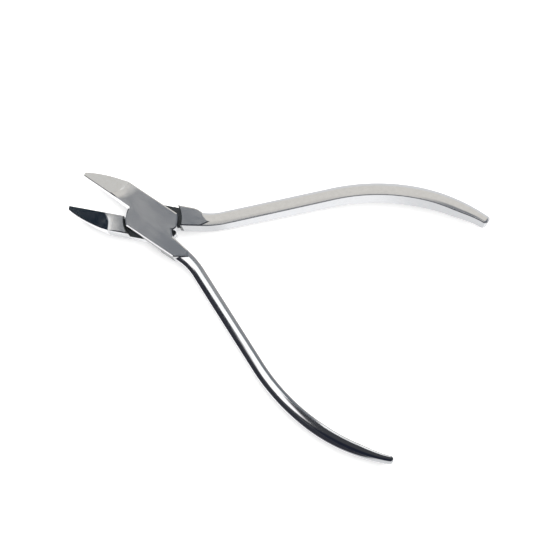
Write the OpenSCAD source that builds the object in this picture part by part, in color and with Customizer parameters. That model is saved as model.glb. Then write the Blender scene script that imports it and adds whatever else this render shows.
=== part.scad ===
// Lap-joint crimping pliers with plain bowed handles.
// Two levers of one pattern, the back one turned over and thicker in its handle, on a screw that is
// let in from behind.
// Origin: on the pivot axis, on the front face of the joint. +X runs along the closed tool from
// the pivot towards the handle tips, +Z points out of the front face. Millimetres.

/* [Stance] */
// Angle between the jaws as the tool lies at rest
opening = 23; // [5:0.1:60]

/* [Joint] */
// Width of each lever across the joint
joint_w = 11.8; // [11:0.1:13]
// Thickness of the two half laps together
joint_t = 7.2; // [6.6:0.1:8]
// Radius of the round end of a half lap towards the jaw
lap_r_jaw = 7.7; // [7.4:0.1:7.9]
// Radius of the round end of a half lap towards the handle
lap_r_handle = 8.3; // [8:0.1:8.6]
// Radius of the shoulder at the root of a jaw
jaw_shoulder_r = 8.2; // [8.1:0.05:8.6]
// Radius of the shoulder at the root of a handle
handle_shoulder_r = 9.35; // [9:0.05:9.6]
// Running gap between the two half laps
lap_gap = 0.06; // [0.04:0.01:0.2]

/* [Jaws] */
// Length of a jaw from the pivot to its tip
jaw_len = 26.2; // [22:0.1:30]
// Distance from the pivot at which the back of a jaw starts to curve in
jaw_curve_start = 12.4; // [11:0.1:14]
// Radius of the curved back of a jaw
jaw_back_r = 45; // [40:1:60]
// Angle at which the curved back leaves the straight flank
jaw_back_angle = 9; // [7:0.5:10]
// Gap that each closed jaw face keeps from the middle at the tip
jaw_face_gap = 0.04; // [0.02:0.01:0.1]
// How far the front jaw's face stands off the axis at the joint (below it when negative)
front_relief = -0.5; // [-0.8:0.05:0]
// How far the back jaw's face stands off the axis at the joint, so that the tips meet first
back_relief = 0.6; // [0.5:0.05:1]
// Thickness of a jaw at its tip
jaw_tip_t = 2.4; // [1.6:0.1:3]
// Distance from the pivot to the taper's edge, on the middle of the jaw
taper_start = 13.2; // [12.6:0.1:15]
// Slant of the taper's edge across the jaw
taper_slant = 10; // [0:0.1:15]
// Height of the step where the taper starts
taper_step = 0.35; // [0.2:0.05:0.6]

/* [Handles] */
// Length of the straight flare, measured along the handle
flare_len = 34; // [28:0.1:36]
// Angle of the flare away from the lever's axis
flare_angle = 23.3; // [20:0.1:27]
// Radius of the bend from the joint into the flare
root_r = 15; // [12:1:20]
// Radius of the palm curve up to the widest point
palm_r = 65; // [60:1:90]
// Radius of the palm curve beyond the widest point
end_r = 53.5; // [50:0.5:70]
// Angle turned beyond the widest point
end_angle = 26.5; // [20:0.5:30]
// Thickness of the front handle, seen from the front
front_handle_t = 3.9; // [3.4:0.1:4.4]
// Thickness of the back handle, seen from the front
back_handle_t = 4.8; // [4:0.1:4.9]
// Extra thickness of the front handle at its root
front_root_extra = 1.3; // [0.8:0.1:1.8]
// Extra thickness of the back handle at its root
back_root_extra = 1.5; // [0.8:0.1:1.6]
// Height of a handle's section where the palm bears
handle_h = 9; // [7:0.1:9.4]
// Height of a handle's section at the joint
handle_root_h = 6.7; // [5.6:0.1:7]
// Thickness of the front handle's blunt end
front_end_t = 2.4; // [2:0.1:3]
// Thickness of the back handle's blunt end
back_end_t = 3.2; // [2.4:0.1:3.6]
// Height of a handle's blunt end
handle_end_h = 6.2; // [3.6:0.1:7]

/* [Pivot] */
// Radius of the screw's plain shank
shank_r = 2.2; // [1.8:0.05:2.5]
// Radial running clearance of the shank in the back lever
shank_clearance = 0.05; // [0.02:0.01:0.1]
// Radius of the screw's threaded end, fixed in the front lever
thread_r = 1.75; // [1.4:0.05:1.8]
// Depth of the blind hole in the front lever
thread_depth = 2.5; // [2:0.1:2.7]
// Radius of the screw's head
head_r = 3.4; // [3:0.05:3.8]
// Height of the screw's head
head_h = 1.5; // [1.2:0.1:1.8]
// Width of the driver slot
slot_w = 0.8; // [0.6:0.1:1.2]
// Depth of the driver slot
slot_d = 0.7; // [0.4:0.1:0.9]

/* [Hidden] */
$fn = 96;
fine_arc = 360;

half_t = joint_t / 2;
half_w = joint_w / 2;
steel = [0.74, 0.75, 0.77];
dark_steel = [0.6, 0.61, 0.64];

// The flank leaves the joint straight, bends out by a fillet and becomes the flare.
root_start = 15;
root_arc = root_r * flare_angle * PI / 180;
palm_arc = palm_r * flare_angle * PI / 180;
end_arc = end_r * end_angle * PI / 180;
s_flare = root_start + root_arc;
s_palm = s_flare + flare_len;
s_end = s_palm + palm_arc;
s_tip = s_end + end_arc;

// Lengths along the handle over which its section changes.
root_thins = [7, 20];
palm_rises = [16, s_end - 6];
end_slims = [s_end, s_tip - 8];
end_thins = [s_tip - 12, s_tip];
end_falls = [s_end - 2, s_tip];
end_slim = 0.4;
fullness = 2.3;

// Each handle's thickness along the palm, its extra thickness at the root, and its end's thickness.
front_size = [front_handle_t, front_root_extra, front_end_t];
back_size = [back_handle_t, back_root_extra, back_end_t];

// The handle is swept from inside the joint, in rings of section_steps + 1 points.
handle_start = 11;
ring_step = 2.6;
ring_count = ceil((s_tip - handle_start) / ring_step);
section_steps = 14;
ring_size = section_steps + 1;

// The flat of the joint runs out on the handle along these points: along the axis, and out from it.
front_flat_end = [[16.6, 3.2], [14.8, 4.4], [12.6, half_w]];
back_flat_end = [[18, 2.6], [15.8, 4.1], [15.2, 5], [13.8, 5.65], [12.4, half_w]];
crotch_s = 8;
inner_s = 15.2;
inner_steps = 5;

// Room around the screw, and the overlap between its sections.
seat_clearance = 0.1;
head_sunk = 0.05;
seat_depth = head_h + seat_clearance;
thread_tip_gap = 0.1;
overlap = 0.5;

// 0 below a, 1 above b, and a smooth ramp between them.
function ramp(x, a, b) =
    let (k = min(1, max(0, (x - a) / (b - a)))) k * k * (3 - 2 * k);
function change(s, span) = ramp(s, span[0], span[1]);

// Heading of a handle's outer edge, as an angle from the lever's axis, after a length s.
function heading(s) =
    s < root_start ? 0
    : s < s_flare ? (s - root_start) / root_r * 180 / PI
    : s < s_palm ? flare_angle
    : s < s_end ? flare_angle - (s - s_palm) / palm_r * 180 / PI
    : -(s - s_end) / end_r * 180 / PI;

// A point after a length s of an arc that starts at p with heading a and turns by turn / r.
function arc_point(p, a, r, turn, s) =
    let (b = a + turn * s / r * 180 / PI)
    p + turn * r * [sin(b) - sin(a), cos(a) - cos(b)];

// A handle's outer edge: distance along the lever's axis, and out from it.
p_root = [root_start, half_w];
p_flare = arc_point(p_root, 0, root_r, 1, root_arc);
p_palm = p_flare + flare_len * [cos(flare_angle), sin(flare_angle)];
p_end = arc_point(p_palm, flare_angle, palm_r, -1, palm_arc);
function outer_edge(s) =
    s < root_start ? [s, half_w]
    : s < s_flare ? arc_point(p_root, 0, root_r, 1, s - root_start)
    : s < s_palm ? p_flare + (s - s_flare) * [cos(flare_angle), sin(flare_angle)]
    : s < s_end ? arc_point(p_palm, flare_angle, palm_r, -1, s - s_palm)
    : arc_point(p_end, 0, end_r, -1, s - s_end);

// Thickness and height of a handle's section after a length s.
function thickness(s, size) =
    size[0] + size[1] * (1 - change(s, root_thins))
    - end_slim * change(s, end_slims)
    - (size[0] - end_slim - size[2]) * change(s, end_thins);
function height(s) =
    handle_root_h + (handle_h - handle_root_h) * change(s, palm_rises)
    - (handle_h - handle_end_h) * change(s, end_falls);

// A handle's inner edge, one thickness in from the outer edge.
function inner_edge(s, size) =
    outer_edge(s) + thickness(s, size) * [sin(heading(s)), -cos(heading(s))];

// Half-round section: flat inside, full outside, as [inwards from the outer edge, up].
function power(x) = sign(x) * pow(abs(x), 2 / fullness);
function section(t, h) = [
    for (i = [0 : section_steps])
        let (a = -90 + 180 * i / section_steps)
        [t * (1 - power(cos(a))), h / 2 * power(sin(a))]
];

// One ring of the handle, placed in the lever's frame with the handle on the -Y side.
function ring(s, size) =
    let (edge = outer_edge(s), a = heading(s))
    [for (q = section(thickness(s, size), height(s)))
        [edge[0] + q[0] * sin(a), -(edge[1] - q[0] * cos(a)), q[1]]];

// The handle's solid, swept ring by ring.
module handle(size) {
    rings = [
        for (i = [0 : ring_count])
            ring(handle_start + (s_tip - handle_start) * i / ring_count, size)
    ];
    points = [for (r = rings) each r];
    sides = [
        for (i = [0 : ring_count - 1], j = [0 : ring_size - 1])
            let (k = (j + 1) % ring_size, a = i * ring_size, b = a + ring_size)
            each [[a + j, b + j, b + k], [a + j, b + k, a + k]]
    ];
    first = [for (j = [ring_size - 1 : -1 : 0]) j];
    last = [for (j = [0 : ring_size - 1]) ring_count * ring_size + j];
    polyhedron(points, concat(sides, [first, last]), convexity = 6);
}

// Plan of a jaw, on the +Y side: flat inner face, straight flank, curved back, blunt tip.
module jaw_plan(relief) {
    centre = [-jaw_curve_start + jaw_back_r * sin(jaw_back_angle),
        half_w - jaw_back_r * cos(jaw_back_angle)];
    root_y = jaw_face_gap + relief * jaw_len / (jaw_len - lap_r_jaw);
    intersection() {
        polygon([[-jaw_len, jaw_face_gap], [-jaw_len, half_w], [0, half_w], [0, root_y]]);
        translate(centre) circle(jaw_back_r, $fn = fine_arc);
    }
}

// Plan of a handle's root, on the -Y side, out to where the flat of the joint ends.
module root_plan(size, flat_end) {
    inner = [
        for (i = [0 : inner_steps])
            inner_edge(crotch_s + (inner_s - crotch_s) * i / inner_steps, size)
    ];
    edge = concat([[0, 0]], inner, flat_end, [[0, half_w]]);
    polygon([for (p = edge) [p[0], -p[1]]]);
}

// Plan of the half lap inside the joint: a strip with round ends.
module lap_plan() {
    intersection() {
        square([3 * lap_r_handle, joint_w], center = true);
        union() {
            circle(lap_r_jaw);
            intersection() {
                circle(lap_r_handle);
                translate([0, -joint_w]) square(2 * joint_w);
            }
        }
    }
}

// What is taken off one face of a jaw to taper it to the tip.
module taper_cut() {
    run = jaw_len - taper_start;
    low = half_t - taper_step;
    slope = (low - jaw_tip_t / 2) / run;
    reach = run + 4;
    translate([-taper_start, half_w / 2, 0])
        rotate([90, 0, 180 - taper_slant])
            translate([0, 0, -joint_w])
                linear_extrude(2 * joint_w)
                    polygon([[0, low], [reach, low - slope * reach], [reach, joint_t], [0, joint_t]]);
}

// One lever: jaw on the +Y side, handle on the -Y side, half lap above the middle plane.
module lever(relief, size, flat_end) {
    difference() {
        union() {
            translate([0, 0, lap_gap / 2])
                linear_extrude(half_t - lap_gap / 2) {
                    jaw_plan(relief);
                    lap_plan();
                    root_plan(size, flat_end);
                }
            translate([0, 0, -half_t])
                linear_extrude(joint_t)
                    difference() {
                        jaw_plan(relief);
                        circle(jaw_shoulder_r);
                    }
            translate([0, 0, -half_t])
                linear_extrude(joint_t)
                    difference() {
                        root_plan(size, flat_end);
                        circle(handle_shoulder_r);
                    }
            handle(size);
        }
        taper_cut();
        mirror([0, 0, 1]) taper_cut();
    }
}

module front_lever() {
    color(steel)
        translate([0, 0, -half_t])
            rotate([0, 0, -opening / 2])
                difference() {
                    lever(front_relief, front_size, front_flat_end);
                    translate([0, 0, -1])
                        cylinder(h = thread_depth + 1, r = thread_r);
                }
}

module back_lever() {
    color(steel)
        translate([0, 0, -half_t])
            rotate([0, 0, opening / 2])
                difference() {
                    rotate([180, 0, 0]) lever(back_relief, back_size, back_flat_end);
                    translate([0, 0, -half_t - 1])
                        cylinder(h = joint_t, r = shank_r + shank_clearance);
                    translate([0, 0, -half_t - 1])
                        cylinder(h = seat_depth + 1, r = head_r + seat_clearance);
                }
}

module pivot_screw() {
    head_bottom = -joint_t + head_sunk;
    shank_bottom = head_bottom + head_h - overlap;
    color(dark_steel)
        difference() {
            union() {
                translate([0, 0, head_bottom])
                    cylinder(h = head_h, r = head_r);
                translate([0, 0, shank_bottom])
                    cylinder(h = -half_t - shank_bottom, r = shank_r);
                translate([0, 0, -half_t - overlap])
                    cylinder(h = thread_depth + overlap - thread_tip_gap, r = thread_r);
            }
            translate([-head_r - 1, -slot_w / 2, head_bottom - 1])
                cube([2 * head_r + 2, slot_w, slot_d + 1]);
        }
}

front_lever();
back_lever();
pivot_screw();
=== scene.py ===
"""Looks of the lap-joint crimping pliers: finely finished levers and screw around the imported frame."""

import math

import bmesh
import bpy
import numpy as np
from mathutils import Matrix, Vector


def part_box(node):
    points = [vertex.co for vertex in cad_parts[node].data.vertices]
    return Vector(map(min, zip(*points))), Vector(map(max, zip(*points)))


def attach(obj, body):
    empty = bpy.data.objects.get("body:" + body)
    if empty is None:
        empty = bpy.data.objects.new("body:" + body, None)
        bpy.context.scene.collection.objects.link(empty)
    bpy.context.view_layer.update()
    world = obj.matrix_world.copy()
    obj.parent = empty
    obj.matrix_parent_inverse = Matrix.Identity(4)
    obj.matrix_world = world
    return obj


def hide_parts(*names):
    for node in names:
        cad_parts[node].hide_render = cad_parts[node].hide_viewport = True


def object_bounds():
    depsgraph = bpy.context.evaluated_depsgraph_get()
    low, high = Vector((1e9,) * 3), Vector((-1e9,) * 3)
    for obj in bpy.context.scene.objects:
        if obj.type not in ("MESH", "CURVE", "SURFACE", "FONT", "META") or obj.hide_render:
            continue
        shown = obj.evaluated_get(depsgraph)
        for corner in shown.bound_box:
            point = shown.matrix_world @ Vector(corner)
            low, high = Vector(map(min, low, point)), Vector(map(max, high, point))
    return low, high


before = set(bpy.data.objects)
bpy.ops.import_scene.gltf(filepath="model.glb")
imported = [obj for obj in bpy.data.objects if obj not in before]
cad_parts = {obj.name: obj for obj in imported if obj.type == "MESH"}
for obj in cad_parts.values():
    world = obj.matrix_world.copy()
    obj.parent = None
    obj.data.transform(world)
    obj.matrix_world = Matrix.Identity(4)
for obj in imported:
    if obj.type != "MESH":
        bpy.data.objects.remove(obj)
cad_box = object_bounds()

# ---------------------------------------------------------------- driving dimensions, in millimetres

MM = 0.001

OPENING = 23.0             # degrees between the jaws at rest

JOINT_T = abs(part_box("back_lever")[0].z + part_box("front_lever")[1].z) / MM
HALF_T = JOINT_T / 2
HALF_W = 5.9               # half the width of a lever across the joint
LAP_R_JAW = 7.7            # round ends of the half lap, towards the jaw and towards the handle
LAP_R_HANDLE = 8.3
JAW_SHOULDER_R = 8.2       # what the other lever's ends turn in
HANDLE_SHOULDER_R = 9.35
LAP_GAP = 0.06

JAW_LEN = 26.2
JAW_CURVE_START = 12.4     # where the jaw's back starts to curve, and its angle there
JAW_BACK_ANGLE = 9.0
JAW_BACK_R = 45.0
JAW_FACE_GAP = 0.04
JAW_TIP_T = 2.4
JAW_TIP_EDGE = 0.02        # chamfer that is left at the jaw's sharp tip
TAPER_START = 13.2
TAPER_SLANT = 10.0         # degrees by which the tapered face's fall is turned towards the jaw's back
TAPER_STEP = 0.35
TAPER_BOUND_BACK = 1.0     # how much nearer the joint the taper's boundary lies than its start
TAPER_BOUND_LEAN = 0.12    # slope of that boundary across the jaw, and where the slope is nil
TAPER_LEAN_Y = 5.4
TAPER_BOUND_BEND = 0.17    # bend of the boundary next to the jaw's inner face, and where it begins
TAPER_BEND_Y = 3.6
CROWN_RUN = 4.2            # length over which a flat face rolls over towards the taper
CROWN_DROP = 0.2
STEP_ROLL = 0.12           # length of the step's rolled edge, and its share of the step
STEP_ROLL_SHARE = 0.35
RUN_OUT_LEAST = 0.12       # length of the concave run-out behind it, shortest at the inner face
RUN_OUT_GROWTH = 2.6       # and longer by this much at RUN_OUT_Y across the jaw
RUN_OUT_Y = 5.5
RUN_OUT_RISE = 2.5         # exponent of that growth across the jaw
RUN_OUT_HOLLOW = 1.3       # exponent of the run-out's fall: 1 is straight, more is more hollow

ROOT_START = 15.0
ROOT_R = 15.0
FLARE_LEN = 34.0
FLARE_ANGLE = 23.3
PALM_R = 65.0
END_R = 53.5
END_ANGLE = 26.5
HANDLE_H = 9.0
HANDLE_ROOT_H = 6.7
HANDLE_END_H = 6.2
HANDLE_START = 10.5        # where the handle's body starts inside the joint
HANDLE_SINK = 0.03         # how far it lies inside the joint's faces there
END_ROUND = 1.0            # radius round the handle's blunt end
END_SLIM = 0.4             # what the handle loses in thickness over its last bend
ROOT_INSET = 0.2           # how far the handle's round outside starts in from the joint's flank
FULLNESS = 2.3             # exponent of the handle's section: 2 is an ellipse, more is squarer

SHANK_R = 2.2
SHANK_CLEARANCE = 0.05
THREAD_R = 1.75
THREAD_DEPTH = 2.5
THREAD_PITCH = 0.6
THREAD_GROOVE = 0.2
THREAD_TIP_GAP = 0.1
HEAD_SUNK = 0.05           # how far the head lies below the back face
HEAD_BEVEL = 0.18
HEAD_R = 3.4
HEAD_H = 1.5
SEAT_CLEARANCE = 0.1
SLOT_W = 0.8
SLOT_D = 0.7

CHAMFER_W = 0.35           # chamfer round the joint's plan and its shoulders
CHAMFER_H = 0.22
JAW_EDGE_W = 0.18          # steep facet along the edges of a tapered jaw
JAW_EDGE_H = 0.40
HANDLE_EDGE = 0.27         # radius where a handle's flat inside meets its round outside
SHARP_ANGLE = 20           # degrees between faces from which an edge shows as sharp

# ---------------------------------------------------------------- the photograph's viewpoint

CAMERA_DIST = 350.0        # from the middle plane of the joint, along the line of sight
CAMERA_TILT = -12.0        # degrees about the picture's horizontal
CAMERA_LEAN = -2.78        # degrees about the picture's vertical
CAMERA_TURN = -22.41       # degrees of the tool's axis in the picture
CAMERA_AIM = (41.66, -1.02)  # the point of the joint's middle plane in the middle of the picture
CAMERA_LENS = 75.404
CAMERA_SENSOR = 36.0


# ---------------------------------------------------------------- outline of a lever, in its own frame
# x runs from the pivot to the handle, the jaw is on the +y side and the handle on the -y side,
# and z is measured from the middle plane of the joint, with the half lap above it.

def ramp(x, a, b):
    """0 below a, 1 above b, and a smooth ramp between them."""
    k = min(1.0, max(0.0, (x - a) / (b - a)))
    return k * k * (3 - 2 * k)


def arc_point(p, heading, radius, turn, length):
    """The point after a length of an arc that starts at p, turning left (1) or right (-1)."""
    a, b = heading, heading + turn * length / radius
    return p + turn * radius * np.array([math.sin(b) - math.sin(a), math.cos(a) - math.cos(b)])


FLARE = math.radians(FLARE_ANGLE)
S_FLARE = ROOT_START + ROOT_R * FLARE
S_PALM = S_FLARE + FLARE_LEN
S_END = S_PALM + PALM_R * FLARE
S_TIP = S_END + END_R * math.radians(END_ANGLE)
P_ROOT = np.array([ROOT_START, HALF_W])
P_FLARE = arc_point(P_ROOT, 0, ROOT_R, 1, ROOT_R * FLARE)
P_PALM = P_FLARE + FLARE_LEN * np.array([math.cos(FLARE), math.sin(FLARE)])
P_END = arc_point(P_PALM, FLARE, PALM_R, -1, PALM_R * FLARE)

# Lengths along the outer edge over which the handle changes.
ROOT_THINS = (7, 20)
ROOT_RISES = (16, S_END - 6)
ROOT_SURFACES = (14, 18)
ROOT_ROUNDS = (14, 22)
END_SLIMS = (S_END, S_TIP - 8)
END_THINS = (S_TIP - 12, S_TIP)
END_FALLS = (S_END - 2, S_TIP)


def heading(s):
    """Angle of the handle's outer edge from the lever's axis after a length s, in radians."""
    if s < ROOT_START:
        return 0.0
    if s < S_FLARE:
        return (s - ROOT_START) / ROOT_R
    if s < S_PALM:
        return FLARE
    if s < S_END:
        return FLARE - (s - S_PALM) / PALM_R
    return -(s - S_END) / END_R


def outer_edge(s):
    """The handle's outer edge: distance along the lever's axis, and out from it."""
    if s < ROOT_START:
        return np.array([s, HALF_W])
    if s < S_FLARE:
        return arc_point(P_ROOT, 0, ROOT_R, 1, s - ROOT_START)
    if s < S_PALM:
        return P_FLARE + (s - S_FLARE) * np.array([math.cos(FLARE), math.sin(FLARE)])
    if s < S_END:
        return arc_point(P_PALM, FLARE, PALM_R, -1, s - S_PALM)
    return arc_point(P_END, 0, END_R, -1, s - S_END)


def thickness(s, shape):
    """Thickness of the handle as seen from the front."""
    palm = shape["handle_t"]
    return (palm + shape["root_extra"] * (1 - ramp(s, *ROOT_THINS)) - END_SLIM * ramp(s, *END_SLIMS)
            - (palm - END_SLIM - shape["end_t"]) * ramp(s, *END_THINS))


def height(s):
    """Height of the handle's section."""
    return (HANDLE_ROOT_H + (HANDLE_H - HANDLE_ROOT_H) * ramp(s, *ROOT_RISES)
            - (HANDLE_H - HANDLE_END_H) * ramp(s, *END_FALLS))


ROOT_INNER_S = 15.2        # the stretch of the handle's inner edge that is part of the joint's plan
CROTCH_S = 8.9
CROTCH_R = 1.6             # cut-back corner between that edge and the joint's round end
CROTCH_MIDDLE = (LAP_R_HANDLE - CROTCH_R - 0.2, 2.2)
CROTCH_ANGLES = (-60, 15)
LAP_END_ANGLE = 20         # where the joint's round end takes over from it

# What differs between the two levers: the handle's thickness in the palm, what it has more at its root
# and what is left at its blunt end, how far the jaw's face stands off the axis at its root, where the
# joint's flat ends on the handle, and how wide the chamfer is there.
FRONT_SHAPE = {
    "handle_t": 3.9,
    "root_extra": 1.3,
    "end_t": 2.4,
    "relief": -0.5,
    "root_end": [(12.6, HALF_W), (13.5, 5.3), (14.8, 4.4), (16.6, 3.2)],
    "end_chamfer": 0.75,
}
BACK_SHAPE = {
    "handle_t": 4.8,
    "root_extra": 1.5,
    "end_t": 3.2,
    "relief": 0.6,
    "root_end": [(12.4, HALF_W), (13.8, 5.65), (15.2, 5.0), (15.8, 4.1), (16.8, 3.2), (18.0, 2.6)],
    "end_chamfer": 0.3,
}


def inwards(s, depth):
    """The plan point that lies a depth inwards from the outer edge, on the handle's side."""
    edge, a = outer_edge(s), heading(s)
    return (edge[0] + depth * math.sin(a), -(edge[1] - depth * math.cos(a)))


def arc(centre, radius, start, stop, step=2.0):
    """Points of an arc between two angles in degrees, both ends included."""
    count = max(2, math.ceil(abs(stop - start) / step))
    angles = [math.radians(start + (stop - start) * i / count) for i in range(count + 1)]
    return [(centre[0] + radius * math.cos(a), centre[1] + radius * math.sin(a)) for a in angles]


def jaw_back_centre():
    """The middle of the arc that the jaw's back follows."""
    a = math.radians(JAW_BACK_ANGLE)
    return (-JAW_CURVE_START + JAW_BACK_R * math.sin(a), HALF_W - JAW_BACK_R * math.cos(a))


def block_outline(shape):
    """Plan of jaw, half lap and handle root as one outline, anticlockwise from the jaw's tip."""
    centre = jaw_back_centre()
    tip_angle = 90 + math.degrees(math.asin((JAW_LEN + centre[0]) / JAW_BACK_R))
    face_y = JAW_FACE_GAP + shape["relief"]
    face_angle = 180 - math.degrees(math.asin(face_y / LAP_R_JAW))
    jaw_flank_angle = math.degrees(math.asin(HALF_W / LAP_R_JAW))
    flank_angle = math.degrees(math.asin(HALF_W / LAP_R_HANDLE))
    inner_count = 8
    inner = [inwards(s, thickness(s, shape)) for s in np.linspace(ROOT_INNER_S, CROTCH_S, inner_count)]
    points = [(-JAW_LEN, JAW_FACE_GAP)]
    points += arc((0, 0), LAP_R_JAW, face_angle, 180 + jaw_flank_angle)
    points += [(x, -y) for x, y in shape["root_end"]] + inner
    points += arc(CROTCH_MIDDLE, CROTCH_R, *CROTCH_ANGLES, step=10)
    points += arc((0, 0), LAP_R_HANDLE, LAP_END_ANGLE, flank_angle)
    points += arc(centre, JAW_BACK_R, 90 + JAW_BACK_ANGLE, tip_angle, step=1)
    return points


# ---------------------------------------------------------------- mesh helpers, still in millimetres

def solid(name, points, faces):
    """An object of its own from points and faces."""
    mesh = bpy.data.meshes.new(name)
    mesh.from_pydata([tuple(p) for p in points], [], faces)
    mesh.update()
    obj = bpy.data.objects.new(name, mesh)
    bpy.context.scene.collection.objects.link(obj)
    return obj


def prism(name, outline, low, high):
    """A closed prism on an anticlockwise outline."""
    n = len(outline)
    points = [(x, y, low) for x, y in outline] + [(x, y, high) for x, y in outline]
    faces = [list(range(n - 1, -1, -1)), list(range(n, 2 * n))]
    faces += [[i, (i + 1) % n, n + (i + 1) % n, n + i] for i in range(n)]
    return solid(name, points, faces)


def inset(outline, depths):
    """The outline moved inwards, each point by its own depth, with its sharpest corners held back."""
    least_cosine = 0.5
    n = len(outline)
    made = []
    for i in range(n):
        here = Vector(outline[i])
        before = (here - Vector(outline[i - 1])).normalized()
        after = (Vector(outline[(i + 1) % n]) - here).normalized()
        inward = Vector((-before.y - after.y, before.x + after.x)).normalized()
        reach = 1 / max(least_cosine, inward.dot(Vector((-before.y, before.x))))
        made.append(tuple(here + inward * depths[i] * reach))
    return made


def loft(name, rings):
    """A closed solid through rings of equal length, with flat ends."""
    n, last = len(rings[0]), len(rings) - 1
    points = [p for r in rings for p in r]
    faces = []
    for i in range(last):
        for j in range(n):
            k = (j + 1) % n
            faces.append([i * n + j, i * n + k, (i + 1) * n + k, (i + 1) * n + j])
    faces.append(list(range(n - 1, -1, -1)))
    faces.append([last * n + j for j in range(n)])
    obj = solid(name, points, faces)
    face_out(obj)
    return obj


def face_out(obj):
    """Turns every face of a closed mesh outwards."""
    bm = bmesh.new()
    bm.from_mesh(obj.data)
    bmesh.ops.recalc_face_normals(bm, faces=bm.faces)
    bm.to_mesh(obj.data)
    bm.free()


def settle(obj):
    """Applies the modifiers of obj."""
    graph = bpy.context.evaluated_depsgraph_get()
    made = bpy.data.meshes.new_from_object(obj.evaluated_get(graph))
    obj.modifiers.clear()
    obj.data = made


def combine(obj, other, operation):
    """Adds other to obj (UNION) or takes it away (DIFFERENCE), and removes other."""
    step = obj.modifiers.new(operation, "BOOLEAN")
    step.object = other
    step.operation = operation
    step.solver = "MANIFOLD"
    settle(obj)
    bpy.data.objects.remove(other)


def simplify(obj):
    """Joins coincident points and dissolves the seams that lie inside flat faces."""
    nearest, flattest = 0.004, math.radians(0.05)
    bm = bmesh.new()
    bm.from_mesh(obj.data)
    bmesh.ops.remove_doubles(bm, verts=bm.verts, dist=nearest)
    bmesh.ops.dissolve_limit(bm, angle_limit=flattest, verts=bm.verts, edges=bm.edges)
    bm.to_mesh(obj.data)
    bm.free()


def cylinder(name, radius, low, high, steps=96):
    """A round bar on the pivot's axis."""
    outline = [(radius * math.cos(a), radius * math.sin(a))
               for a in (2 * math.pi * i / steps for i in range(steps))]
    return prism(name, outline, low, high)


# ---------------------------------------------------------------- levers

def handle_section(t, h):
    """Half-round section: flat inside, full outside, as (in from the outer edge, up), closed."""
    n, b = FULLNESS, h / 2
    lowest, steepest, count, corner_count = 2.5, 89.99, 25, 6
    outside = []
    for angle in np.linspace(lowest, 90, count):
        ratio = (math.tan(math.radians(min(angle, steepest))) * t ** n / b ** n) ** (1 / (n - 1))
        z = ((ratio / t) ** n + (1 / b) ** n) ** (-1 / n)
        outside.append((ratio * z, z))
    upper = [(t - x, z) for x, z in outside]
    lower = [(q, -z) for q, z in reversed(upper[:-1])]
    e = HANDLE_EDGE
    corner = [(t - e + e * math.sin(a), b - e + e * math.cos(a))
              for a in np.linspace(0, math.pi / 2, corner_count)]
    low_corner = [(q, -z) for q, z in corner]
    return upper + lower + low_corner + corner[::-1]


def handle_ring(s, shape, shrink=0.0):
    """The handle's section at a length along it, in space, with every side moved in by shrink."""
    shrink += HANDLE_SINK * (1 - ramp(s, *ROOT_SURFACES))
    outside_in = shrink + ROOT_INSET * (1 - ramp(s, *ROOT_ROUNDS))
    section = handle_section(thickness(s, shape) - shrink - outside_in, height(s) - 2 * shrink)
    return [(*inwards(s, outside_in + q), z) for q, z in section]


def handle(shape):
    """The bowed handle with its rounded blunt end."""
    ring_step, end_steps = 0.8, 5
    body_end = S_TIP - END_ROUND
    length = body_end - HANDLE_START
    count = math.ceil(length / ring_step)
    rings = [handle_ring(HANDLE_START + length * i / count, shape) for i in range(count + 1)]
    for k in range(1, end_steps + 1):
        a = math.pi / 2 * k / end_steps
        rings.append(handle_ring(body_end + END_ROUND * math.sin(a), shape, END_ROUND * (1 - math.cos(a))))
    return loft("handle", rings)


def taper_edge(y):
    """Distance from the pivot at which the jaw's taper starts, across the jaw."""
    lean = TAPER_BOUND_LEAN * (TAPER_LEAN_Y - y)
    bend = TAPER_BOUND_BEND * max(0.0, TAPER_BEND_Y - y) ** 2
    return TAPER_START - TAPER_BOUND_BACK + lean + bend


def taper_plane(x, y):
    """Height of the tapered face above the middle plane."""
    low = HALF_T - TAPER_STEP
    slope = (low - JAW_TIP_T / 2) / (JAW_LEN - TAPER_START)
    a = math.radians(TAPER_SLANT)
    run = -(x + TAPER_START) * math.cos(a) + (y - HALF_W / 2) * math.sin(a)
    return low - slope * run


def taper_profile(y):
    """Section of the ground taper along the jaw: crowned flat, rolled edge, run-out and flat taper."""
    crown_steps, roll_steps, run_steps = 8, 4, 8
    above, reach = HALF_T + 2, 18.0
    edge = taper_edge(y)
    run_out = STEP_ROLL + RUN_OUT_LEAST + RUN_OUT_GROWTH * (max(0.0, y) / RUN_OUT_Y) ** RUN_OUT_RISE
    drop = HALF_T - CROWN_DROP - taper_plane(-edge, y)
    points = [(-edge + CROWN_RUN, above)]
    for k in range(crown_steps + 1):
        part = k / crown_steps
        points.append((-edge + CROWN_RUN * (1 - part), HALF_T - CROWN_DROP * part ** 2))
    for k in range(1, roll_steps + 1):
        x = -edge - STEP_ROLL * k / roll_steps
        lift = drop * (1 - STEP_ROLL_SHARE * (k / roll_steps) ** 2)
        points.append((x, taper_plane(x, y) + lift))
    for k in range(1, run_steps + 1):
        x = -edge - (STEP_ROLL + (run_out - STEP_ROLL) * k / run_steps)
        lift = (1 - STEP_ROLL_SHARE) * drop * (1 - k / run_steps) ** RUN_OUT_HOLLOW
        points.append((x, taper_plane(x, y) + lift))
    far = -edge - reach
    return points + [(far, taper_plane(far, y)), (far, above)]


def taper_cutter(side):
    """What is ground off one face of a jaw."""
    spare, count = 1.2, 41
    rings = []
    for y in np.linspace(-spare, HALF_W + spare, count):
        rings.append([(x, y, side * z) for x, z in taper_profile(y)])
    return loft("taper", rings)


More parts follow.
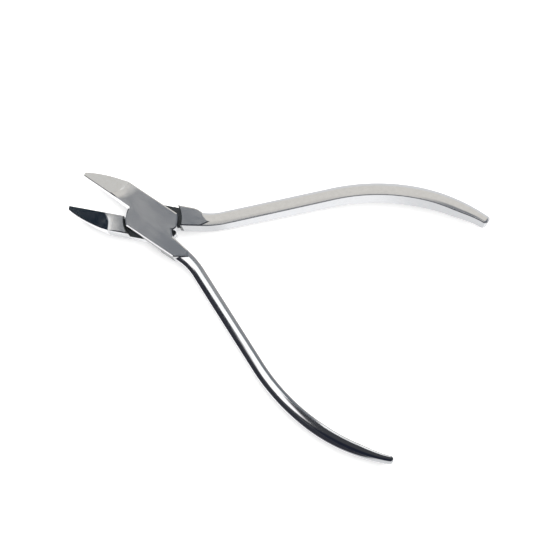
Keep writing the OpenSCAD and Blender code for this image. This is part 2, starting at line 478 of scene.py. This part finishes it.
def edge_cutter(edge, size_w, size_h, side):
    """Cuts a facet along an edge, given as points with the outward direction of the wall below them."""
    spare = 0.6
    inmost = -size_w - spare * size_w / size_h
    lowest = -size_h - spare * size_h / size_w
    section = [(spare, spare), (inmost, spare), (spare, lowest)]
    rings = []
    for (x, y, z), (out_x, out_y) in edge:
        rings.append([(x + q * out_x, y + q * out_y, side * (z + up)) for q, up in section])
    return loft("edge", rings)


def jaw_edges(shape, side):
    """The edges of the tapered face: along the jaw's inner face, and along its curved back."""
    count, spare, short = 24, 0.5, 0.8
    rolls_over = (9.5, 14)     # distances from the pivot between which the flat face drops
    middle_x, middle_y = jaw_back_centre()
    inner, outer = [], []
    face_slope = shape["relief"] / (JAW_LEN - LAP_R_JAW)
    for x in np.linspace(-JAW_LEN - spare, -LAP_R_JAW + spare, count):
        y = JAW_FACE_GAP + face_slope * (x + JAW_LEN)
        z = min(taper_plane(x, y), HALF_T - CROWN_DROP * ramp(-x, *rolls_over))
        inner.append(((x, y, z), (0.0, -1.0)))
    for x in np.linspace(-JAW_LEN - spare, -TAPER_START - short, count):
        a = math.asin((x - middle_x) / JAW_BACK_R)
        way = (math.sin(a), math.cos(a))
        y = middle_y + JAW_BACK_R * way[1]
        outer.append(((x, y, taper_plane(x, y)), way))
    return [edge_cutter(edge, JAW_EDGE_W, JAW_EDGE_H, side) for edge in (inner, outer)]


def block(shape):
    """Jaw, half lap and handle root in one."""
    outline = block_outline(shape)
    run_out = {(x, -y) for x, y in shape["root_end"][1:]}
    depths = [shape["end_chamfer"] if p in run_out else CHAMFER_W for p in outline]
    depths[0] = JAW_TIP_EDGE
    depths[1] = JAW_TIP_EDGE
    small = inset(outline, depths)
    wall = HALF_T - CHAMFER_H
    levels = ((small, -HALF_T), (outline, -wall), (outline, wall), (small, HALF_T))
    obj = loft("block", [[(x, y, z) for x, y in plan] for plan, z in levels])
    rings = []
    for z, extra in ((-HALF_T - CHAMFER_H, 2 * CHAMFER_W), (-wall, 0), (LAP_GAP / 2, 0)):
        shoulder = arc((0, 0), HANDLE_SHOULDER_R + extra, -90, 90)
        shoulder += arc((0, 0), JAW_SHOULDER_R + extra, 90, 270)
        rings.append([(x, y, z) for x, y in shoulder])
    combine(obj, loft("lap", rings), "DIFFERENCE")
    for side in (1, -1):
        combine(obj, taper_cutter(side), "DIFFERENCE")
        for cutter in jaw_edges(shape, side):
            combine(obj, cutter, "DIFFERENCE")
    return obj


def lever(name, holes, shape):
    """One lever with its holes, given as (radius, low, high)."""
    obj = block(shape)
    for radius, low, high in holes:
        combine(obj, cylinder("hole", radius, low, high), "DIFFERENCE")
    simplify(obj)
    combine(obj, handle(shape), "UNION")
    obj.name = name
    obj.data.name = name
    return obj


THREAD_HOLE = (THREAD_R, -1, THREAD_DEPTH)
SHANK_HOLE = (SHANK_R + SHANK_CLEARANCE, -1, HALF_T + 1)
HEAD_SEAT = (HEAD_R + SEAT_CLEARANCE, HALF_T - HEAD_H - SEAT_CLEARANCE, HALF_T + 1)

front = lever("front_lever_steel", [THREAD_HOLE], FRONT_SHAPE)
back = lever("back_lever_steel", [SHANK_HOLE, HEAD_SEAT], BACK_SHAPE)


# ---------------------------------------------------------------- pivot screw

def lathe(name, profile, steps=96, thread=None):
    """A turned solid: profile is (radius, height) pairs from the bottom axis to the top axis."""
    rings = []
    for r, z in profile:
        ring = []
        for i in range(steps):
            a = 2 * math.pi * i / steps
            radius = r + (thread(a, z) if thread else 0)
            ring.append((radius * math.cos(a), radius * math.sin(a), z))
        rings.append(ring)
    return loft(name, rings)


def screw():
    """Slotted flat-headed screw with a plain shank and a threaded end; its head is at the back."""
    head_low = -JOINT_T + HEAD_SUNK
    head_top = head_low + HEAD_H
    mid = -HALF_T
    top = mid + THREAD_DEPTH - THREAD_TIP_GAP
    c = 0.1                    # small bevels and the fillet under the head
    neck = 0.15                # bevel between the shank and the thread
    thread_low, thread_high, thread_steps = mid + 0.05, top - 0.3, 44
    profile = [(HEAD_R - 0.9, head_low), (HEAD_R - HEAD_BEVEL, head_low + 0.02),
               (HEAD_R - 0.06, head_low + 0.08), (HEAD_R, head_low + HEAD_BEVEL)]
    profile += [(HEAD_R, head_top - c), (HEAD_R - c, head_top), (SHANK_R + c, head_top)]
    profile += [(SHANK_R, head_top + c), (SHANK_R, mid - neck), (SHANK_R - neck, mid)]
    profile += [(THREAD_R - 0.12, mid + 0.02)]
    for i in range(thread_steps + 1):
        profile.append((THREAD_R, thread_low + (thread_high - thread_low) * i / thread_steps))
    profile += [(THREAD_R - 0.15, top - 0.12), (THREAD_R - 0.3, top)]

    def groove(angle, z):
        """How far the thread's groove pulls the surface in."""
        if z < thread_low or z > thread_high:
            return 0.0
        turn = ((z - thread_low) / THREAD_PITCH - angle / (2 * math.pi)) % 1.0
        return -THREAD_GROOVE * (1 - abs(2 * turn - 1)) * ramp(z, thread_low, thread_low + 0.3)

    obj = lathe("pivot_screw_steel", profile, thread=groove)
    half = SLOT_W / 2
    slot = [(-HEAD_R - 1, -half), (HEAD_R + 1, -half), (HEAD_R + 1, half), (-HEAD_R - 1, half)]
    combine(obj, prism("slot", slot, head_low - 1, head_low + SLOT_D), "DIFFERENCE")
    return obj


pin = screw()


# ---------------------------------------------------------------- grain coordinates, finish and placing

def grain(points):
    """Along the lever, in from its outer edge, and up: the directions that polishing follows."""
    step = 0.5
    stations = np.arange(ROOT_START - 3, S_TIP + 1, step)
    edges = np.array([outer_edge(s) for s in stations]) * [1, -1]
    headings = np.array([heading(s) for s in stations])
    made = np.stack([points[:, 0], HALF_W + points[:, 1], points[:, 2]], 1)
    for i in np.nonzero(points[:, 0] > ROOT_START - 2)[0]:
        p = points[i, :2]
        k = int(np.argmin(((edges - p) ** 2).sum(1)))
        along = np.array([math.cos(headings[k]), -math.sin(headings[k])])
        inward = np.array([math.sin(headings[k]), math.cos(headings[k])])
        d = p - edges[k]
        made[i] = stations[k] + d @ along, d @ inward, points[i, 2]
    return made


def finish_steel(obj, materials, choose):
    """Stores the grain, gives each face its material, and smooths across the rounded edges."""
    mesh = obj.data
    points = np.array([v.co for v in mesh.vertices])
    made = grain(points) if choose else points
    attribute = mesh.attributes.new("grain", "FLOAT_VECTOR", "POINT")
    attribute.data.foreach_set("vector", made.astype(np.float32).ravel())
    mesh.materials.clear()
    for m in materials:
        mesh.materials.append(m)
    for face in mesh.polygons:
        face.material_index = choose(face.center, face.normal) if choose else 0
        face.use_smooth = True
    mesh.set_sharp_from_angle(angle=math.radians(SHARP_ANGLE))
    step = obj.modifiers.new("normals", "WEIGHTED_NORMAL")
    step.keep_sharp = True
    step.weight = 80
    settle(obj)


def place(obj, flipped, turn):
    """From the lever's own frame in millimetres to the row frame in metres."""
    matrix = Matrix.Translation((0, 0, -HALF_T * MM)) @ Matrix.Rotation(math.radians(turn), 4, "Z")
    if flipped:
        matrix = matrix @ Matrix.Rotation(math.pi, 4, "X")
    obj.data.transform(matrix @ Matrix.Scale(MM, 4))


# ---------------------------------------------------------------- materials

def node(tree, kind, **values):
    """A new shader node with its settings."""
    made = tree.nodes.new(kind)
    for name, value in values.items():
        setattr(made, name, value)
    return made


def noise(tree, vector, scale, detail=3.0, stretch=(1, 1, 1), rough=0.6):
    """Noise on stretched coordinates."""
    mapping = node(tree, "ShaderNodeMapping")
    mapping.inputs["Scale"].default_value = stretch
    tree.links.new(vector, mapping.inputs["Vector"])
    made = node(tree, "ShaderNodeTexNoise")
    made.inputs["Scale"].default_value = scale
    made.inputs["Detail"].default_value = detail
    made.inputs["Roughness"].default_value = rough
    tree.links.new(mapping.outputs["Vector"], made.inputs["Vector"])
    return made.outputs["Fac"]


def remap(tree, value, low, high, out_low, out_high):
    """A value's range moved to another range."""
    made = node(tree, "ShaderNodeMapRange")
    for name, number in (("From Min", low), ("From Max", high), ("To Min", out_low), ("To Max", out_high)):
        made.inputs[name].default_value = number
    tree.links.new(value, made.inputs["Value"])
    return made.outputs["Result"]


def steel(name, colour, dark, rough, lines, smear, waves=0.0, across=False):
    """Stainless steel with polishing lines along the grain, faint smears and slight waviness."""
    scratch_depth, wave_depth = 0.00004, 0.001
    along_grain, across_grain = (0.12, 6, 6), (6, 0.3, 0.3)
    most_dull, streak_share = 0.6, 0.35
    material = bpy.data.materials.new(name)
    material.use_nodes = True
    tree = material.node_tree
    shader = tree.nodes["Principled BSDF"]
    shader.inputs["Metallic"].default_value = 1.0
    shader.inputs["IOR"].default_value = 2.5
    where = node(tree, "ShaderNodeAttribute", attribute_name="grain").outputs["Vector"]
    fine = noise(tree, where, 1.6, 4.0, across_grain if across else along_grain)
    broad = noise(tree, where, 0.22, 2.0, (0.5, 1, 1))
    spots = noise(tree, where, 1.1, 4.0, (0.7, 1, 1), 0.7)

    tint = node(tree, "ShaderNodeMix", data_type="RGBA")
    tint.inputs["A"].default_value = (*colour, 1)
    tint.inputs["B"].default_value = (*dark, 1)
    tree.links.new(remap(tree, spots, 0.40, 0.80, 0.0, most_dull), tint.inputs["Factor"])
    tree.links.new(tint.outputs["Result"], shader.inputs["Base Color"])

    streaks = remap(tree, fine, 0.3, 0.7, -streak_share * lines, streak_share * lines)
    stains = remap(tree, broad, 0.35, 0.65, rough * (1 - smear), rough * (1 + smear))
    total = node(tree, "ShaderNodeMath", operation="ADD", use_clamp=True)
    tree.links.new(streaks, total.inputs[0])
    tree.links.new(stains, total.inputs[1])
    tree.links.new(total.outputs["Value"], shader.inputs["Roughness"])

    scratch = node(tree, "ShaderNodeBump")
    scratch.inputs["Strength"].default_value = 1.0
    scratch.inputs["Distance"].default_value = scratch_depth * lines
    tree.links.new(fine, scratch.inputs["Height"])
    wavy = node(tree, "ShaderNodeBump")
    wavy.inputs["Strength"].default_value = 1.0
    wavy.inputs["Distance"].default_value = wave_depth * waves
    tree.links.new(broad, wavy.inputs["Height"])
    tree.links.new(scratch.outputs["Normal"], wavy.inputs["Normal"])
    tree.links.new(wavy.outputs["Normal"], shader.inputs["Normal"])
    return material


STEEL = (0.64, 0.65, 0.665)
STEEL_DULL = (0.56, 0.57, 0.58)
GROUND_DULL = (0.6, 0.59, 0.57)
# The lapped faces inside the joint's recess have a rougher finish and are coloured near black: painted
# shade for the deep recess.
LAP_PAINTED_SHADE = (0.10, 0.11, 0.115)
LAP_PAINTED_SHADE_DULL = (0.06, 0.06, 0.065)
SCREW = (0.5, 0.51, 0.53)
SCREW_DULL = (0.4, 0.41, 0.43)
polished = steel("polished_steel", STEEL, STEEL_DULL, rough=0.10, lines=0.05, smear=0.25, waves=0.02)
satin = steel("satin_steel", STEEL, STEEL_DULL, rough=0.18, lines=0.05, smear=0.2, waves=0.04)
ground = steel("ground_steel", STEEL, GROUND_DULL, rough=0.10, lines=0.04, smear=0.2, waves=0.02,
               across=True)
# Near-black lapped steel: painted shade for the joint's recess, on a rougher lapped finish.
lapped_painted_shade = steel("lapped_steel_painted_shade", LAP_PAINTED_SHADE, LAP_PAINTED_SHADE_DULL, rough=0.30, lines=0.10, smear=0.2)
turned = steel("turned_steel", SCREW, SCREW_DULL, rough=0.22, lines=0.12, smear=0.2)

POLISHED, SATIN, GROUND, LAPPED_PAINTED_SHADE = range(4)


def lever_finish(centre, normal):
    """Which finish a face of a lever has, by where it lies and how it faces; the lapped faces in the
    joint's recess are coloured near black as painted shade.
    """
    level, steep, sideways = 0.999, 0.7, 0.9
    handle_x = 12.7
    lap_r, lap_z = HANDLE_SHOULDER_R + 0.3, 0.2
    if centre.x > handle_x and centre.y < 0 and abs(normal.z) < level:
        return POLISHED
    if abs(normal.z) > level and abs(centre.z) > HALF_T - 0.01:
        return SATIN
    # The faces of the lap recess take the near-black material, which is painted shade.
    if math.hypot(centre.x, centre.y) < lap_r and centre.z < lap_z:
        return LAPPED_PAINTED_SHADE
    if centre.x < -TAPER_START + 2 and abs(normal.z) > steep and abs(centre.z) < HALF_T - 0.02:
        return GROUND
    if centre.x < -LAP_R_JAW and normal.y < -sideways:
        return GROUND
    return SATIN


steels = [polished, satin, ground, lapped_painted_shade]
finish_steel(front, steels, lever_finish)
finish_steel(back, steels, lever_finish)
finish_steel(pin, [turned], None)
place(front, False, -OPENING / 2)
place(back, True, OPENING / 2)
pin.data.transform(Matrix.Scale(MM, 4))
for piece, body, replaced, slot_name in (
        (front, "front", "front_lever", "lever_steel"),
        (back, "back", "back_lever", "lever_steel"),
        (pin, "front", "pivot_screw", "screw_steel")):
    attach(piece, body)
    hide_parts(replaced)


# ---------------------------------------------------------------- camera

def turn_matrix():
    """From the row frame to the camera's axes: right, up, towards the camera."""
    tilt = Matrix.Rotation(math.radians(CAMERA_TILT), 3, "X")
    lean = Matrix.Rotation(math.radians(CAMERA_LEAN), 3, "Y")
    turn = Matrix.Rotation(math.radians(CAMERA_TURN), 3, "Z")
    return lean @ tilt @ turn


def add_camera():
    """The camera at the photograph's angle."""
    data = bpy.data.cameras.new("camera")
    data.sensor_width = CAMERA_SENSOR
    data.lens = CAMERA_LENS
    data.clip_start = 0.01
    data.clip_end = 20.0
    camera = bpy.data.objects.new("camera", data)
    bpy.context.scene.collection.objects.link(camera)
    back_turn = turn_matrix().transposed()
    aim = Vector((CAMERA_AIM[0], CAMERA_AIM[1], -HALF_T))
    camera.rotation_mode = "QUATERNION"
    camera.rotation_quaternion = back_turn.to_quaternion()
    camera.location = (aim + back_turn @ Vector((0, 0, CAMERA_DIST))) * MM
    bpy.context.scene.camera = camera


add_camera()


# ---------------------------------------------------------------- studio

FLOOR_Z = cad_box[0].z
STAGE_R = 1.6


def plain(name, colour, strength=0.0):
    """A plain matt material; its lower side lets light and views through."""
    material = bpy.data.materials.new(name)
    material.use_nodes = True
    tree = material.node_tree
    shader = tree.nodes["Principled BSDF"]
    shader.inputs["Base Color"].default_value = (*colour, 1)
    shader.inputs["Roughness"].default_value = 0.9
    shader.inputs["Specular IOR Level"].default_value = 0.1
    shader.inputs["Emission Color"].default_value = (*colour, 1)
    shader.inputs["Emission Strength"].default_value = strength
    clear = node(tree, "ShaderNodeBsdfTransparent")
    side = node(tree, "ShaderNodeNewGeometry")
    mixed = node(tree, "ShaderNodeMixShader")
    tree.links.new(side.outputs["Backfacing"], mixed.inputs["Fac"])
    tree.links.new(shader.outputs["BSDF"], mixed.inputs[1])
    tree.links.new(clear.outputs["BSDF"], mixed.inputs[2])
    tree.links.new(mixed.outputs["Shader"], tree.nodes["Material Output"].inputs["Surface"])
    return material


def disc(name, radius, z, steps=96):
    """A flat round plate."""
    ring = [(radius * math.cos(2 * math.pi * i / steps), radius * math.sin(2 * math.pi * i / steps), z)
            for i in range(steps)]
    return solid(name, ring, [list(range(steps))])


def backdrop_sphere(name, radius, rings=24, steps=48):
    """A sphere that is seen from inside."""
    points, faces = [], []
    for i in range(rings + 1):
        e = math.pi * i / rings - math.pi / 2
        for j in range(steps):
            a = 2 * math.pi * j / steps
            points.append((radius * math.cos(e) * math.cos(a), radius * math.cos(e) * math.sin(a),
                           radius * math.sin(e)))
    for i in range(rings):
        for j in range(steps):
            k = (j + 1) % steps
            faces.append([i * steps + j, (i + 1) * steps + j, (i + 1) * steps + k, i * steps + k])
    return solid(name, points, faces)


def backdrop_white(colour):
    """A material that only glows, in one even tone."""
    material = bpy.data.materials.new("backdrop_white")
    material.use_nodes = True
    shader = material.node_tree.nodes["Principled BSDF"]
    shader.inputs["Base Color"].default_value = (0, 0, 0, 1)
    shader.inputs["Specular IOR Level"].default_value = 0.0
    shader.inputs["Emission Color"].default_value = (*colour, 1)
    shader.inputs["Emission Strength"].default_value = 1.0
    return material


floor = disc("floor", STAGE_R, FLOOR_Z)
floor.data.materials.append(plain("floor_white", (0.9, 0.9, 0.9), 0.45))
floor.visible_glossy = False
backdrop = backdrop_sphere("backdrop", STAGE_R)
backdrop.data.materials.append(backdrop_white((0.93, 0.94, 0.95)))
for seen in ("visible_diffuse", "visible_glossy", "visible_shadow", "visible_transmission",
             "visible_volume_scatter"):
    setattr(backdrop, seen, False)


def area_light(name, direction, distance, size, power, colour):
    """A square soft light that looks at the middle of the tool; direction is in the picture's axes."""
    data = bpy.data.lights.new(name, "AREA")
    data.shape = "SQUARE"
    data.size = size
    data.energy = power
    data.color = colour
    obj = bpy.data.objects.new(name, data)
    bpy.context.scene.collection.objects.link(obj)
    turn = Matrix.Rotation(math.radians(-CAMERA_TURN), 3, "Z")
    way = (turn @ Vector(direction)).normalized()
    middle = (cad_box[0] + cad_box[1]) / 2
    obj.location = middle + way * distance
    obj.rotation_mode = "QUATERNION"
    obj.rotation_quaternion = way.to_track_quat("Z", "Y")
    obj.visible_glossy = False
    return obj


area_light("key", (0.3, 0.35, 0.9), distance=0.9, size=1.3, power=18.0, colour=(1.0, 0.99, 0.97))

# What the polished steel sees. The studio is even below the horizon and darker overhead, with
# soft-edged rectangles on it. Each is laid out as seen from the tool, in the picture's axes: the
# half of the studio that it is in (1 overhead, -1 below), the height at which it starts there, its
# middle (right, up), its half sizes, its turn in degrees, the softness of its edge, and its light.
STUDIO_BELOW = (0.95, 0.95, 0.96)
STUDIO_ABOVE = (0.245, 0.26, 0.285)
ABOVE_FADES = (0.0, 0.3)
START_SOFT = 0.03
PATCHES = [
    ("light_top",      1, 0.0,  (0.05, 0.82),     (0.58, 0.46),   0,    0.05,  (0.95, 0.91, 0.85)),
    ("light_left",     1, 0.0,  (-0.36, 0.35),    (0.13, 0.20),   0,    0.09,  (0.85, 0.83, 0.79)),
    ("dark_back",      1, 0.0,  (-0.80, 0.62),    (0.14, 0.20),   0,    0.03,  (0.04, 0.042, 0.05)),
    ("dark_left",      1, 0.0,  (-0.505, 0.25),   (0.085, 0.09),  0,    0.015, (0.010, 0.021, 0.036)),
    ("light_ridge",    1, 0.0,  (-0.385, 0.23),   (0.035, 0.07),  0,    0.02,  (1.4, 1.4, 1.4)),
    ("light_rim",      1, 0.0,  (-0.46, 0.57),    (0.05, 0.08),   0,    0.02,  (1.15, 1.13, 1.1)),
    ("dark_front",     1, 0.0,  (0.0, -0.80),     (1.5, 0.72),    0,    0.06,  (0.07, 0.072, 0.08)),
    ("dark_near",      1, 0.0,  (0.0, -1.02),     (0.6, 0.28),    0,    0.06,  (0.02, 0.024, 0.04)),
    ("white_low",      1, 0.27, (-0.68, -0.345),  (0.27, 0.185),  71.6, 0.05,  (1.7, 1.65, 1.65)),
    ("white_band",     1, 0.0,  (-0.577, -0.162), (0.265, 0.13),  32.6, 0.03,  (1.7, 1.7, 1.7)),
    ("glint",          1, 0.0,  (0.12, -0.03),    (0.19, 0.12),   0,    0.02,  (1.5, 1.5, 1.5)),
    ("dark_rim",       1, 0.0,  (-0.92, -0.27),   (0.10, 0.07),   32,   0.02,  (0.03, 0.034, 0.045)),
    ("dark_low_left", -1, 0.0,  (-0.72, -0.62),   (0.50, 0.44),   0,    0.04,  (0.045, 0.047, 0.06)),
    ("dark_low_band", -1, 0.0,  (-0.66, -0.19),   (0.33, 0.12),   30,   0.03,  (0.04, 0.042, 0.055)),
    ("white_flank",   -1, 0.0,  (-0.29, 0.0),     (0.08, 0.20),   0,    0.04,  (1.5, 1.5, 1.5)),
    ("white_wall",    -1, 0.0,  (0.24, -0.26),    (0.24, 0.10),   0,    0.06,  (1.22, 1.22, 1.23)),
]


def studio_world():
    """The surroundings that the steel mirrors, worked out from the direction alone."""
    world = bpy.data.worlds.new("studio")
    bpy.context.scene.world = world
    world.use_nodes = True
    tree = world.node_tree
    where = node(tree, "ShaderNodeTexCoord").outputs["Generated"]
    turned_way = node(tree, "ShaderNodeVectorRotate", rotation_type="Z_AXIS")
    turned_way.inputs["Angle"].default_value = math.radians(CAMERA_TURN)
    tree.links.new(where, turned_way.inputs["Vector"])
    way = turned_way.outputs["Vector"]

    def dot(axis):
        made = node(tree, "ShaderNodeVectorMath", operation="DOT_PRODUCT")
        made.inputs[1].default_value = axis
        tree.links.new(way, made.inputs[0])
        return made.outputs["Value"]

    def calc(operation, a, b=None):
        made = node(tree, "ShaderNodeMath", operation=operation)
        for socket, value in zip(made.inputs, (a, b)):
            if isinstance(value, (int, float)):
                socket.default_value = value
            elif value is not None:
                tree.links.new(value, socket)
        return made.outputs["Value"]

    def fade(value, low, high, out_low, out_high):
        made = node(tree, "ShaderNodeMapRange", interpolation_type="SMOOTHSTEP")
        names = ("From Min", "From Max", "To Min", "To Max")
        for key, number in zip(names, (low, high, out_low, out_high)):
            made.inputs[key].default_value = number
        tree.links.new(value, made.inputs["Value"])
        return made.outputs["Result"]

    def blend(colour, other, factor):
        made = node(tree, "ShaderNodeMix", data_type="RGBA")
        tree.links.new(factor, made.inputs["Factor"])
        for key, value in (("A", colour), ("B", other)):
            if isinstance(value, tuple):
                made.inputs[key].default_value = (*value, 1)
            else:
                tree.links.new(value, made.inputs[key])
        return made.outputs["Result"]

    right, ahead, up = dot((1, 0, 0)), dot((0, 1, 0)), dot((0, 0, 1))
    total = blend(STUDIO_BELOW, STUDIO_ABOVE, fade(up, *ABOVE_FADES, 0, 1))
    for _name, half, start, middle, size, turn, soft, colour in PATCHES:
        a = math.radians(turn)
        mask = fade(calc("MULTIPLY", up, half), start - START_SOFT, start + START_SOFT, 0, 1)
        for axis, reach in (((math.cos(a), math.sin(a)), size[0]), ((-math.sin(a), math.cos(a)), size[1])):
            away = calc("ADD", calc("MULTIPLY", right, axis[0]), calc("MULTIPLY", ahead, axis[1]))
            away = calc("SUBTRACT", away, middle[0] * axis[0] + middle[1] * axis[1])
            mask = calc("MULTIPLY", mask, fade(calc("ABSOLUTE", away), reach - soft, reach + soft, 1, 0))
        total = blend(total, colour, mask)
    tree.links.new(total, tree.nodes["Background"].inputs["Color"])
    tree.nodes["Background"].inputs["Strength"].default_value = 1.0


studio_world()
view = bpy.context.scene.view_settings
view.view_transform = "Standard"
view.look = "None"
